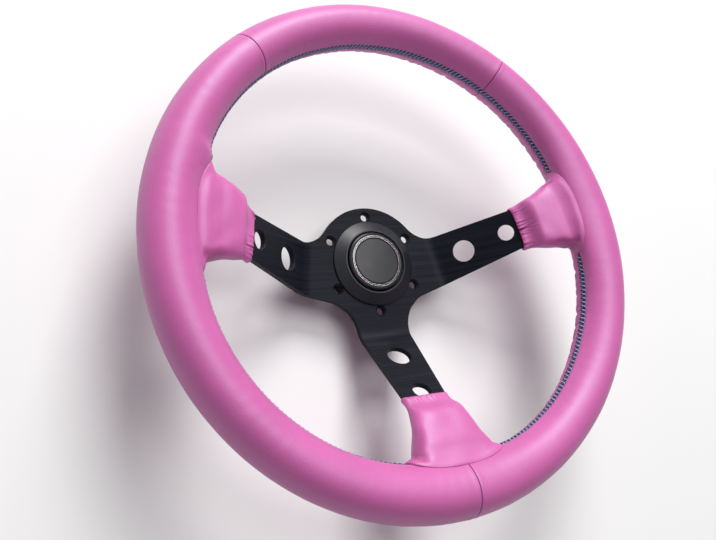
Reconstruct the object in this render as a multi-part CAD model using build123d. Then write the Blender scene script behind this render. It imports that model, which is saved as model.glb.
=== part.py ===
from build123d import *
import math
import os

# Deep-dish car steering wheel, three spokes, leather-wrapped rim, central horn button.
# Frame: origin at the centre of the bolt circle on the hub plate's back face,
# +Z along the steering axis towards the driver, +Y to twelve o'clock, millimetres.

# ---------------------------------------------------------------- driving dimensions
WHEEL_R = 174.96          # outer radius of the leather rim
RIM_A = 15.6              # rim section, radial half width
RIM_B = 18.2              # rim section, axial half height
RIM_R = WHEEL_R - RIM_A   # radius of the section's centreline
RIM_Z = 59.8              # height of the section's centre over the mounting face
LEATHER_T = 1.2           # hide thickness on the rim and boots
PANEL_ANGLES = (53.0, 127.0, 271.5)   # butt seams between the rim panels

PLATE_T = 4.0             # aluminium spoke plate
HUB_R = 42.0              # hub disc
BOLT_PCD = 70.0           # six-hole steering boss pattern
BOLT_HOLE_R = 2.75        # clearance for M5
BOLT_SINK_R = 4.2         # countersink at the front face
HUB_BORE_R = 25.4         # centre hole for the horn button's housing
BORE_CHAMFER = 1.3        # at the back edge of that hole
SPOKE_SLOPE = 0.81        # rise over run of the dished part of each spoke
BEND_S = 51.6             # where the front face starts to rise
LAP_Z = 59.8              # joint plane between spoke ends and hoop
BEND_IN = 12.0            # inside bend radius
SIDE_ANGLE = 10.4         # side spokes point this far above the horizontal
LIGHT_BIG_R = 8.1         # lightening hole nearer the hub
LIGHT_SMALL_R = 6.0       # lightening hole nearer the rim
HOLES_SIDE = ((69.9, 2.4), (95.7, 8.9))       # x, y on the front face, right side
HOLES_BOTTOM = ((0.0, -68.9), (0.0, -95.2))

HOOP_R1, HOOP_R2 = 151.5, 166.5   # flat hoop inside the rim
HOOP_T = 4.0
RIVET_R = 2.4
RIVET_HEAD_R = 4.2
RIVET_HEAD_T = 1.5

BEZEL_R = 31.0            # conical trim ring round the horn button
BEZEL_IN_R = 22.5
BEZEL_TOP = 9.3
CAP_R = 21.5              # horn button
CAP_TOP = 10.2
PRESS = 1.8               # travel of the horn button
HOUSING_R = 25.0
HOUSING_BASE = -19.0      # lowest point of the whole wheel
STITCH_W = 4.0
STITCH_T = 0.7

os.makedirs("parts", exist_ok=True)
PARTS = {}


def polar(r, deg, z=0.0):
    a = math.radians(deg)
    return (r * math.cos(a), r * math.sin(a), z)


def revolved(points, start=0.0, arc=360.0):
    """Closed polygon of (radius, z) pairs turned about the steering axis."""
    wire = Wire.make_polygon([Vector(r, 0, z) for r, z in points], close=True)
    face = Face(wire)
    solid = revolve(face, axis=Axis.Z, revolution_arc=arc)
    return solid.rotate(Axis.Z, start)


def rim_body(a, b, start=0.0, arc=360.0):
    """Elliptical rim section with half sizes a and b, turned through an arc."""
    plane = Plane(origin=(RIM_R, 0, RIM_Z), x_dir=(1, 0, 0), z_dir=(0, -1, 0))
    face = plane * Ellipse(a, b)
    solid = revolve(face, axis=Axis.Z, revolution_arc=arc)
    return solid.rotate(Axis.Z, start)


def spoke_plane(deg, s=0.0, w=0.0, z=0.0):
    """Plane facing along a spoke: local x is across the spoke, local y is +Z."""
    u = Vector(*polar(1, deg))
    v = Vector(*polar(1, deg + 90))
    origin = u * s + v * w + Vector(0, 0, z)
    return Plane(origin=origin, x_dir=v, z_dir=u)


# ---------------------------------------------------------------- spoke plate
def slope_profile(thick=PLATE_T, lift=0.0, grow=0.0):
    """Side view of a spoke: flat hub, dished run, flat end under the hoop."""
    k = math.sqrt(1 + SPOKE_SLOPE ** 2)
    zf = thick + lift + grow
    zb = lift - grow
    top = LAP_Z + lift + grow
    bot = LAP_Z - PLATE_T + lift - grow
    f = lambda z: BEND_S + (z - PLATE_T - grow * k - lift) / SPOKE_SLOPE
    b = lambda z: BEND_S + (z - PLATE_T + (PLATE_T + grow) * k - lift) / SPOKE_SLOPE
    pts = [(-2, zb), (b(zb), zb), (b(bot), bot), (HOOP_R2 + 1, bot),
           (HOOP_R2 + 1, top), (f(top), top), (f(zf), zf), (-2, zf)]
    rads = {1: BEND_IN + PLATE_T, 2: BEND_IN, 5: BEND_IN + PLATE_T, 6: BEND_IN}
    return pts, rads


def profile_face(deg):
    """The side view as a face in the vertical plane through a spoke's direction."""
    pts, rads = slope_profile()
    u = Vector(*polar(1, deg))
    plane = Plane(origin=(0, 0, 0), x_dir=u, z_dir=Vector(*polar(1, deg - 90)))
    sk = make_face(Polyline(*pts, close=True))
    for i, r in rads.items():
        v = sorted(sk.vertices(), key=lambda q: (q.X - pts[i][0]) ** 2 + (q.Y - pts[i][1]) ** 2)[0]
        sk = fillet(v, r)
    return plane * sk


def sector(a0, a1, r=400.0):
    """Vertical wedge between two directions."""
    n = 8
    pts = [(0, 0)] + [polar(r, a0 + (a1 - a0) * i / n)[:2] for i in range(n + 1)]
    return Pos(0, 0, -30) * extrude(make_face(Polyline(*pts, close=True)), 160)


def plan_outline():
    """Hub disc and three tapering spokes seen along the steering axis."""
    # right half, mirrored to the left; edges are straight, corners are blended below
    lower_out, upper_out = (164.5, 13.2), (160.2, 33.4)
    upper = [(99.2, 24.5), (39.0, 14.88)]
    lower = [(104.6, -4.8), (21.0, -30.7)]
    bottom = [(15.1, -98.7), (15.0, -167.0)]
    half = [(0, 10)] + [upper[1], upper[0], upper_out, lower_out, lower[0], lower[1], bottom[0], bottom[1]]
    pts = half + [(-x, y) for x, y in reversed(half) if x != 0]
    sk = make_face(Polyline(*pts, close=True))

    def near(face, x, y):
        return sorted(face.vertices(), key=lambda q: (q.X - x) ** 2 + (q.Y - y) ** 2)[0]

    for x, y, r in ((21.0, -30.7, 25.0), (99.2, 24.5, 60.0), (104.6, -4.8, 60.0), (15.1, -98.7, 60.0)):
        for sx in (1, -1):
            sk = fillet(near(sk, sx * x, y), r)
    sk = sk + Circle(HUB_R)
    # concave blends between the hub disc and the upper edges of the side spokes
    m = (24.5 - 14.88) / (99.2 - 39.0)
    c = 24.5 - m * 99.2
    qa, qb, qc = 1 + m * m, 2 * m * c, c * c - HUB_R ** 2
    xv = (-qb + math.sqrt(qb * qb - 4 * qa * qc)) / (2 * qa)
    for sx in (1, -1):
        sk = fillet(near(sk, sx * xv, m * xv + c), 22.0)
    return sk


def normal_hole(deg, s, w, r, chamfer_r=0.5):
    """Drill square to the inclined front face of a spoke, with broken edges."""
    k = math.sqrt(1 + SPOKE_SLOPE ** 2)
    u = Vector(*polar(1, deg))
    v = Vector(*polar(1, deg + 90))
    z = PLATE_T + SPOKE_SLOPE * (s - BEND_S)
    n = (Vector(0, 0, 1) - u * SPOKE_SLOPE) * (1 / k)
    top = Plane(origin=u * s + v * w + Vector(0, 0, z), x_dir=v, z_dir=n)
    tool = top * Cylinder(r, 30)
    tool += top * (Pos(0, 0, -chamfer_r / 2) * Cone(r, r + chamfer_r * 1.0, chamfer_r))
    tool += top * (Pos(0, 0, chamfer_r / 2) * Cone(r + chamfer_r, r + 2 * chamfer_r, chamfer_r))
    tool += top * (Pos(0, 0, -PLATE_T + chamfer_r / 2) * Cone(r + chamfer_r * 1.0, r, chamfer_r))
    return tool


outline = Pos(0, 0, -10) * extrude(plan_outline(), 100)
plate = None
for deg, a0, a1 in ((SIDE_ANGLE, -55.6, 90.0), (180 - SIDE_ANGLE, 90.0, 235.6), (270.0, 235.6, 304.4)):
    strip = extrude(profile_face(deg), 90, both=True)
    piece = strip & sector(a0, a1) & outline
    plate = piece if plate is None else plate + piece

cuts = []
for i in range(6):
    x, y, _ = polar(BOLT_PCD / 2, 30 + 60 * i)
    cuts.append(Pos(x, y, PLATE_T / 2) * Cylinder(BOLT_HOLE_R, PLATE_T + 4))
    d = BOLT_SINK_R - BOLT_HOLE_R
    cuts.append(Pos(x, y, PLATE_T - d / 2 + 0.001) * Cone(BOLT_HOLE_R, BOLT_SINK_R, d))
cuts.append(Pos(0, 0, PLATE_T / 2) * Cylinder(HUB_BORE_R, PLATE_T + 6))
# broken edge behind the bore, where the housing's clips catch
cuts.append(Pos(0, 0, BORE_CHAMFER / 2 - 0.001) * Cone(HUB_BORE_R + BORE_CHAMFER, HUB_BORE_R, BORE_CHAMFER))
for deg, holes in ((SIDE_ANGLE, HOLES_SIDE), (180 - SIDE_ANGLE, HOLES_SIDE), (270.0, HOLES_BOTTOM)):
    for (x, y), r in zip(holes, (LIGHT_BIG_R, LIGHT_SMALL_R)):
        if deg == 180 - SIDE_ANGLE:
            x = -x
        a = math.radians(deg)
        s = x * math.cos(a) + y * math.sin(a)
        w = -x * math.sin(a) + y * math.cos(a)
        cuts.append(normal_hole(deg, s, w, r))
rivet_spots = []
for deg, ws in ((SIDE_ANGLE, (-16.5, -3.5)), (180 - SIDE_ANGLE, (3.5, 16.5)), (270.0, (-7.5, 7.5))):
    for w in ws:
        s = math.sqrt(159.0 ** 2 - w * w)
        p = Vector(*polar(1, deg)) * s + Vector(*polar(1, deg + 90)) * w
        rivet_spots.append(p)
        cuts.append(Pos(p.X, p.Y, LAP_Z - 2) * Cylinder(RIVET_R, 14))
for c in cuts:
    plate = plate - c
# the spoke ends follow the hoop's outer edge
plate = plate & (Pos(0, 0, 30) * Cylinder(HOOP_R2, 120))
PARTS["spoke_plate"] = plate

# ---------------------------------------------------------------- hoop and rivets
hoop = Pos(0, 0, LAP_Z + HOOP_T / 2) * (Cylinder(HOOP_R2, HOOP_T) - Cylinder(HOOP_R1, HOOP_T + 2))
for p in rivet_spots:
    hoop = hoop - Pos(p.X, p.Y, LAP_Z) * Cylinder(RIVET_R, 14)
PARTS["rim_hoop"] = hoop

rivets = []
for p in rivet_spots:
    rv = revolve(Plane.XZ * make_face(Polyline(
        (0, LAP_Z - PLATE_T - RIVET_HEAD_T), (RIVET_HEAD_R * 0.7, LAP_Z - PLATE_T - RIVET_HEAD_T),
        (RIVET_HEAD_R, LAP_Z - PLATE_T - RIVET_HEAD_T * 0.35), (RIVET_HEAD_R, LAP_Z - PLATE_T),
        (RIVET_R, LAP_Z - PLATE_T), (RIVET_R, LAP_Z + HOOP_T), (RIVET_HEAD_R, LAP_Z + HOOP_T),
        (RIVET_HEAD_R, LAP_Z + HOOP_T + RIVET_HEAD_T * 0.35),
        (RIVET_HEAD_R * 0.7, LAP_Z + HOOP_T + RIVET_HEAD_T),
        (0, LAP_Z + HOOP_T + RIVET_HEAD_T), close=True)), axis=Axis.Z)
    rivets.append(Pos(p.X, p.Y, 0) * rv)
PARTS["hoop_rivets"] = Compound(rivets)

# ---------------------------------------------------------------- foam, hide and boots
# sections of a boot, square to its spoke: distance out, lower and upper reach across,
# front height, back height
SIDE_BOOT = ((102.3, -24.2, 6.8, 46.3, 38.6), (105.0, -24.7, 7.1, 48.4, 40.6), (107.2, -25.2, 7.6, 50.3, 41.9),
             (108.9, -25.8, 8.2, 52.8, 42.7), (110.5, -26.4, 8.7, 56.2, 43.4), (112.2, -27.0, 9.2, 58.6, 44.0),
             (114.6, -27.8, 10.0, 60.0, 44.8), (120.0, -29.2, 11.6, 62.3, 46.2), (127.0, -31.2, 14.0, 64.4, 47.8),
             (133.0, -34.2, 16.8, 66.2, 49.2), (149.0, -37.0, 20.0, 66.2, 52.0))
BOTTOM_BOOT = ((98.8, -15.6, 15.6, 43.4, 35.8), (101.7, -15.8, 16.4, 45.7, 38.0), (104.2, -16.1, 17.4, 47.9, 39.6),
               (106.0, -16.4, 18.2, 50.6, 40.5), (107.7, -16.7, 18.8, 53.9, 41.3), (109.6, -17.0, 19.4, 56.6, 42.0),
               (112.2, -17.4, 20.2, 58.5, 42.9), (118.5, -18.8, 22.2, 61.4, 45.0), (126.0, -21.4, 25.4, 64.2, 47.0),
               (133.0, -24.8, 29.0, 66.2, 49.0), (150.0, -30.0, 34.0, 66.2, 52.0))


def boot_body(deg, rows, side, shrink=0.0, first=0):
    faces = []
    for s, w0, w1, zf, zb in rows[first:]:
        x, y = (w1 - w0) / 2 - shrink, (zf - zb) / 2 - shrink
        rad = min(y * 0.92, 7.0 - shrink * 0.5)
        # the local x axis points counter-clockwise; the left side is the mirror image
        pl = spoke_plane(deg, s, (w0 + w1) / 2 * side, (zf + zb) / 2)
        faces.append(pl * RectangleRounded(2 * x, 2 * y, rad))
    return loft(faces, ruled=True)


BOOTS = {"right": (SIDE_ANGLE, SIDE_BOOT, 1), "left": (180 - SIDE_ANGLE, SIDE_BOOT, -1),
         "bottom": (270.0, BOTTOM_BOOT, 1)}
ring_outer = rim_body(RIM_A, RIM_B)
ring_inner = rim_body(RIM_A - LEATHER_T, RIM_B - LEATHER_T)

pads = {}
for name, (deg, rows, side) in BOOTS.items():
    pads[name] = boot_body(deg, rows, side, shrink=LEATHER_T, first=3)

foam = ring_inner
for pad in pads.values():
    foam = foam + pad
foam = foam - plate - hoop
for rv in rivets:
    foam = foam - rv
PARTS["rim_foam"] = foam

for name, (deg, rows, side) in BOOTS.items():
    boot = boot_body(deg, rows, side) - ring_outer - pads[name] - plate
    PARTS["boot_" + name] = boot

arcs = {"rim_leather_top": (PANEL_ANGLES[0], PANEL_ANGLES[1]),
        "rim_leather_left": (PANEL_ANGLES[1], PANEL_ANGLES[2]),
        "rim_leather_right": (PANEL_ANGLES[2], PANEL_ANGLES[0] + 360.0)}
for name, (a0, a1) in arcs.items():
    shell = rim_body(RIM_A, RIM_B, a0, a1 - a0) - ring_inner
    for pad in pads.values():
        shell = shell - pad
    PARTS[name] = shell

# sewing thread: a raised row along the inner side of the rim, between the boots
band_sk = Plane(origin=(RIM_R, 0, RIM_Z), x_dir=(1, 0, 0), z_dir=(0, -1, 0))
band = band_sk * ((Ellipse(RIM_A + STITCH_T, RIM_B + STITCH_T) - Ellipse(RIM_A, RIM_B))
                  & Pos(-RIM_A, 0.6) * Rectangle(6.0, STITCH_W))
for name, (a0, a1) in {"stitching_top": (21.5, 157.5), "stitching_left": (188.0, 255.8),
                       "stitching_right": (286.2, 352.4)}.items():
    PARTS[name] = revolve(band, axis=Axis.Z, revolution_arc=a1 - a0).rotate(Axis.Z, a0)

# ---------------------------------------------------------------- horn button
# conical trim ring over the housing's flange
PARTS["horn_bezel"] = revolved([
    (BEZEL_R, PLATE_T), (BEZEL_R, 5.2), (BEZEL_R - 0.3, 5.5), (23.3, BEZEL_TOP), (BEZEL_IN_R, BEZEL_TOP),
    (BEZEL_IN_R, 7.6), (24.6, 7.6), (29.2, 5.3), (29.2, PLATE_T)])

# cup that drops through the hub's centre hole; the skirt below guards the terminals
FLOOR_Z = -10.0
housing = revolved([
    (HOUSING_R, HOUSING_BASE), (HOUSING_R, PLATE_T), (28.6, PLATE_T), (28.6, 5.0), (24.5, 5.0),
    (24.5, 7.6), (22.0, 7.6), (22.0, -1.6), (23.4, -1.6), (23.4, FLOOR_Z), (0, FLOOR_Z),
    (0, FLOOR_Z - 2.0), (23.4, FLOOR_Z - 2.0), (23.4, HOUSING_BASE)])
housing = housing - Pos(0, 0, FLOOR_Z - 1) * Cylinder(1.6, 8)
# slot for the earth blade and windows for the three retaining clips
LIVE_X, EARTH_X = -8.4, 13.4
housing = housing - Pos(EARTH_X, 0, FLOOR_Z - 1) * Box(0.8, 6.3, 8)
CLIP_W = 7.0
CLIP_ANGLES = (90.0, 210.0, 330.0)
for a in CLIP_ANGLES:
    pl = spoke_plane(a, 24.7, 0, -6.0)
    housing = housing - pl * Box(CLIP_W, 6.4, 0.8)
    housing = housing - spoke_plane(a, 24.2, 0, -8.6) * Box(CLIP_W, 1.2, 4.0)
PARTS["horn_housing"] = housing

# sprung steel tongues that catch the broken edge behind the hub plate's bore
clips = []
for a in CLIP_ANGLES:
    pl = Plane(origin=(0, 0, 0), x_dir=Vector(*polar(1, a)), z_dir=Vector(*polar(1, a - 90)))
    tongue = make_face(Polyline(
        (22.9, -9.2), (22.9, -8.8), (24.4, -8.8), (25.6, -0.9), (25.55, 0.3), (26.0, 0.2), (26.4, -0.4),
        (26.3, -1.2), (24.85, -9.2), close=True))
    clips.append(extrude(pl * tongue, CLIP_W / 2 - 0.1, both=True))
PARTS["housing_clips"] = Compound(clips)

# moving button: cap with skirt and trapped lip, silver ring and plain face disc
cap = revolved([
    (0, CAP_TOP - 2.2), (19.7, CAP_TOP - 2.2), (19.7, -3.2), (23.0, -3.2), (23.0, -1.9), (CAP_R, -1.9),
    (CAP_R, CAP_TOP - 1.3), (CAP_R - 0.45, CAP_TOP - 0.4), (CAP_R - 1.3, CAP_TOP), (18.9, CAP_TOP),
    (18.9, CAP_TOP - 0.9), (17.4, CAP_TOP - 0.9), (17.4, CAP_TOP - 0.3), (16.4, CAP_TOP - 0.3),
    (16.4, CAP_TOP - 1.1), (0, CAP_TOP - 1.1)])
# boss under the crown that carries the moving contact
cap = cap + revolved([(2.0, CAP_TOP - 2.2), (2.0, 3.0), (6.5, 3.0), (6.5, CAP_TOP - 2.2)])
PARTS["horn_cap"] = cap
PARTS["cap_ring"] = revolved([
    (17.4, CAP_TOP - 0.9), (18.9, CAP_TOP - 0.9), (18.9, CAP_TOP + 0.35), (18.7, CAP_TOP + 0.6),
    (18.45, CAP_TOP + 0.6), (18.15, CAP_TOP + 0.25), (17.85, CAP_TOP + 0.6), (17.6, CAP_TOP + 0.6),
    (17.4, CAP_TOP + 0.35)])
disc_pts = [(0, CAP_TOP - 1.1), (16.4, CAP_TOP - 1.1), (16.4, CAP_TOP + 0.1), (16.1, CAP_TOP + 0.42)]
for i in range(1, 9):
    r = 16.1 * (1 - i / 8)
    disc_pts.append((r, CAP_TOP + 0.42 + 0.5 * (1 - (r / 16.1) ** 2)))
PARTS["cap_disc"] = revolved(disc_pts)

# moving contact: brass disc under the boss, outer part is the spring's upper seat
PARTS["moving_contact"] = revolved([
    (0, 2.0), (11.5, 2.0), (11.5, 3.0), (1.9, 3.0), (1.9, 5.6), (0, 5.6)])
# fixed contact: rivet through the housing floor, head faces the moving contact
PARTS["fixed_contact"] = revolved([
    (0, 0.0), (2.6, 0.0), (2.9, -0.3), (2.9, FLOOR_Z + 0.8), (1.6, FLOOR_Z + 0.8),
    (1.6, FLOOR_Z - 2.8), (2.8, FLOOR_Z - 2.8), (2.4, FLOOR_Z - 3.6), (0, FLOOR_Z - 3.6)])
# insulating washer under the rivet head keeps it off the spring's seat
PARTS["contact_washer"] = Pos(0, 0, FLOOR_Z + 0.4) * (Cylinder(5.0, 0.8) - Cylinder(1.6, 2))
# spring's lower seat: brass ring on the housing floor
PARTS["spring_seat"] = Pos(0, 0, FLOOR_Z + 0.3) * (Cylinder(12.0, 0.6) - Cylinder(5.6, 2))

# blade terminals, 6.3 x 0.8
x0, x1 = LIVE_X - 0.4, 3.4
live = Pos((x0 + x1) / 2, 0, FLOOR_Z - 2.4) * Box(x1 - x0, 6.3, 0.8)
live = live + Pos(LIVE_X, 0, (FLOOR_Z - 2.0 - 17.8) / 2) * Box(0.8, 6.3, 17.8 - 2.0 + FLOOR_Z)
live = live - Pos(0, 0, FLOOR_Z - 2.4) * Cylinder(1.6, 4)
PARTS["terminal_live"] = live
earth = Pos(EARTH_X, 0, (FLOOR_Z + 0.6 - 17.8) / 2) * Box(0.8, 6.3, 17.8 + 0.6 + FLOOR_Z)
earth = earth + Pos((EARTH_X + 9.0) / 2, 0, FLOOR_Z + 0.9) * Box(EARTH_X - 9.0 + 0.8, 6.3, 0.6)
PARTS["terminal_earth"] = earth

# compression spring between the seat and the moving contact
WIRE_R = 0.55
SPRING_R = 9.8
z0, z1 = FLOOR_Z + 1.2 + WIRE_R + 0.05, 2.0 - WIRE_R - 0.05
helix = Helix(pitch=(z1 - z0) / 4.0, height=z1 - z0, radius=SPRING_R)
start = helix @ 0
tang = helix % 0
spring = sweep(Plane(origin=start, z_dir=tang) * Circle(WIRE_R), path=helix)
PARTS["horn_spring"] = Pos(0, 0, z0) * spring

# ---------------------------------------------------------------- write each piece
for name, shape in PARTS.items():
    export_step(shape, f"parts/{name}.step")
    print(name, round(shape.volume, 1))
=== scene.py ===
import math

import bpy
import numpy as np
from mathutils import Matrix, Vector
from mathutils.bvhtree import BVHTree


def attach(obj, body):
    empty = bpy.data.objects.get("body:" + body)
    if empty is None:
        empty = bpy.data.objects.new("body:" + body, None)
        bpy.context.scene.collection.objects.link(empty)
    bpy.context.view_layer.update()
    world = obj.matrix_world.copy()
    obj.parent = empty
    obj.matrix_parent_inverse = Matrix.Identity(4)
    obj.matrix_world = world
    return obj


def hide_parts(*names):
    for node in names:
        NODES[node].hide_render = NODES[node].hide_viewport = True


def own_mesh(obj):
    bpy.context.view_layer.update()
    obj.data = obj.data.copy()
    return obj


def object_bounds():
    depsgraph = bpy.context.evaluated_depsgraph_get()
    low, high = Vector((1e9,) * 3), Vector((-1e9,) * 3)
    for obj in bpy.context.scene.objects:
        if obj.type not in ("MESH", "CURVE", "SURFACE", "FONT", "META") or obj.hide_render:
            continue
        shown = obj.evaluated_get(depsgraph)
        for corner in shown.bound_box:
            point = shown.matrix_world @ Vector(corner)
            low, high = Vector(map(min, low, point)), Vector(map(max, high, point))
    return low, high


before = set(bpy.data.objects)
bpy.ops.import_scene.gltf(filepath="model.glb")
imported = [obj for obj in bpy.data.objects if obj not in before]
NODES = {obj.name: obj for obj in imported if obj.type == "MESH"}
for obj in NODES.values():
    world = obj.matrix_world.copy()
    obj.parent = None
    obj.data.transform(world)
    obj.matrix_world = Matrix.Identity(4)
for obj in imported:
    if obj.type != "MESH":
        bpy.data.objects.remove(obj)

CAD_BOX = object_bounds()
MM = 0.001
scene = bpy.context.scene

# ------------------------------------------------------------------ camera
cam_data = bpy.data.cameras.new("camera")
cam = bpy.data.objects.new("camera", cam_data)
scene.collection.objects.link(cam)
cam_data.sensor_width = 36.0
cam_data.lens = 39.184
cam_data.shift_x = -0.0271
cam_data.shift_y = -0.0993
cam_data.clip_start = 0.01
cam_data.clip_end = 50.0
right = Vector((0.881951, -0.170184, 0.439545))
up = Vector((0.004251, 0.935375, 0.353631))
back = Vector((-0.471322, -0.310016, 0.825679))
rot = Matrix((right, up, back)).transposed().to_4x4()
cam.matrix_world = Matrix.Translation(Vector((-0.261126, -0.131047, 0.484504))) @ rot
scene.camera = cam

# ------------------------------------------------------------------ small maths
rng = np.random.RandomState(20417)


def smoothstep(a, b, x):
    t = np.clip((x - a) / (b - a), 0.0, 1.0)
    return t * t * (3 - 2 * t)


def waves(seed, kmin, kmax, mmax, n, power=0.6):
    """Terms of a smooth field that is periodic in both angles, unit rms."""
    r = np.random.RandomState(seed)
    k = r.randint(kmin, kmax + 1, n)
    m = r.randint(-mmax, mmax + 1, n)
    p = r.uniform(0, 2 * math.pi, n)
    a = 1.0 / k ** power
    a = a / math.sqrt(0.5 * (a * a).sum())
    return list(zip(k, m, p, a))


def field(terms, phi, th):
    out = 0.0
    for k, m, p, a in terms:
        out = out + a * np.cos(k * phi + m * th + p)
    return out


def natural_spline(x, y, q):
    """Natural cubic spline through rows y at x, at the places q. y has shape (m, ...)."""
    m = len(x)
    h = np.diff(x)
    flat = y.reshape(m, -1)
    a = np.zeros((m, m))
    r = np.zeros_like(flat)
    a[0, 0] = a[-1, -1] = 1.0
    for i in range(1, m - 1):
        a[i, i - 1], a[i, i], a[i, i + 1] = h[i - 1], 2 * (h[i - 1] + h[i]), h[i]
        r[i] = 6 * ((flat[i + 1] - flat[i]) / h[i] - (flat[i] - flat[i - 1]) / h[i - 1])
    c = np.linalg.solve(a, r)
    j = np.clip(np.searchsorted(x, q) - 1, 0, m - 2)
    t0, t1, hh = (q - x[j])[:, None], (x[j + 1] - q)[:, None], h[j][:, None]
    out = (c[j] * t1 ** 3 + c[j + 1] * t0 ** 3) / (6 * hh)
    out += (flat[j] / hh - c[j] * hh / 6) * t1 + (flat[j + 1] / hh - c[j + 1] * hh / 6) * t0
    return out.reshape((len(q),) + y.shape[1:])


def grid_normals(p, wrap_j):
    """Unit normals of a grid of points; j wraps round if wrap_j."""
    di = np.empty_like(p)
    di[1:-1] = p[2:] - p[:-2]
    di[0], di[-1] = p[1] - p[0], p[-1] - p[-2]
    if wrap_j:
        dj = np.roll(p, -1, 1) - np.roll(p, 1, 1)
    else:
        dj = np.empty_like(p)
        dj[:, 1:-1] = p[:, 2:] - p[:, :-2]
        dj[:, 0], dj[:, -1] = p[:, 1] - p[:, 0], p[:, -1] - p[:, -2]
    n = np.cross(di, dj)
    return n / np.maximum(np.linalg.norm(n, axis=-1, keepdims=True), 1e-12)


def make_mesh(name, verts, faces, mats, face_mat=None, attrs=None, uvs=None, flip=False):
    me = bpy.data.meshes.new(name)
    if flip:
        faces = [tuple(reversed(f)) for f in faces]
    me.from_pydata((np.asarray(verts, float) * MM).tolist(), [], faces)
    for m in mats:
        me.materials.append(m)
    me.polygons.foreach_set("use_smooth", [True] * len(me.polygons))
    if face_mat is not None:
        me.polygons.foreach_set("material_index", face_mat)
    for key, values in (attrs or {}).items():
        at = me.attributes.new(key, "FLOAT", "POINT")
        at.data.foreach_set("value", np.asarray(values, np.float32))
    if uvs is not None:
        layer = me.uv_layers.new(name="uv")
        idx = np.empty(len(me.loops), np.int32)
        me.loops.foreach_get("vertex_index", idx)
        layer.data.foreach_set("uv", np.asarray(uvs, np.float32)[idx].ravel())
    me.update()
    me.validate()
    ob = bpy.data.objects.new(name, me)
    scene.collection.objects.link(ob)
    return ob


# ------------------------------------------------------------------ materials
def new_material(name):
    m = bpy.data.materials.new(name)
    m.use_nodes = True
    return m, m.node_tree, m.node_tree.nodes["Principled BSDF"]


def node(nt, kind, **settings):
    n = nt.nodes.new(kind)
    for k, v in settings.items():
        setattr(n, k, v)
    return n


def coords(nt, scale=(1, 1, 1), rotation=(0, 0, 0)):
    tc = node(nt, "ShaderNodeTexCoord")
    mp = node(nt, "ShaderNodeMapping")
    mp.inputs["Scale"].default_value = scale
    mp.inputs["Rotation"].default_value = rotation
    nt.links.new(tc.outputs["Object"], mp.inputs["Vector"])
    return mp.outputs["Vector"]


def noise_node(nt, vec, scale, detail=2.0, rough=0.5):
    n = node(nt, "ShaderNodeTexNoise")
    n.inputs["Scale"].default_value = scale
    n.inputs["Detail"].default_value = detail
    n.inputs["Roughness"].default_value = rough
    nt.links.new(vec, n.inputs["Vector"])
    return n.outputs["Fac"]


def ramp(nt, fac, stops):
    r = node(nt, "ShaderNodeValToRGB")
    els = r.color_ramp.elements
    while len(els) < len(stops):
        els.new(0.5)
    for e, (pos, col) in zip(els, stops):
        e.position = pos
        e.color = (*col, 1.0) if len(col) == 3 else col
    nt.links.new(fac, r.inputs["Fac"])
    return r.outputs["Color"]


def remap(nt, fac, a, b, c, d):
    r = node(nt, "ShaderNodeMapRange")
    for i, v in zip(("From Min", "From Max", "To Min", "To Max"), (a, b, c, d)):
        r.inputs[i].default_value = v
    nt.links.new(fac, r.inputs["Value"])
    return r.outputs["Result"]


def bump(nt, height, strength, distance, below=None):
    b = node(nt, "ShaderNodeBump")
    b.inputs["Strength"].default_value = strength
    b.inputs["Distance"].default_value = distance
    nt.links.new(height, b.inputs["Height"])
    if below is not None:
        nt.links.new(below, b.inputs["Normal"])
    return b.outputs["Normal"]


def mix_colour(nt, fac, a, b, mode="MIX"):
    m = node(nt, "ShaderNodeMix", data_type="RGBA", blend_type=mode)
    nt.links.new(fac, m.inputs["Factor"]) if not isinstance(fac, float) else setattr(m.inputs["Factor"], "default_value", fac)
    for sock, v in ((m.inputs["A"], a), (m.inputs["B"], b)):
        if isinstance(v, tuple):
            sock.default_value = (*v, 1.0)
        else:
            nt.links.new(v, sock)
    return m.outputs["Result"]


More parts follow.
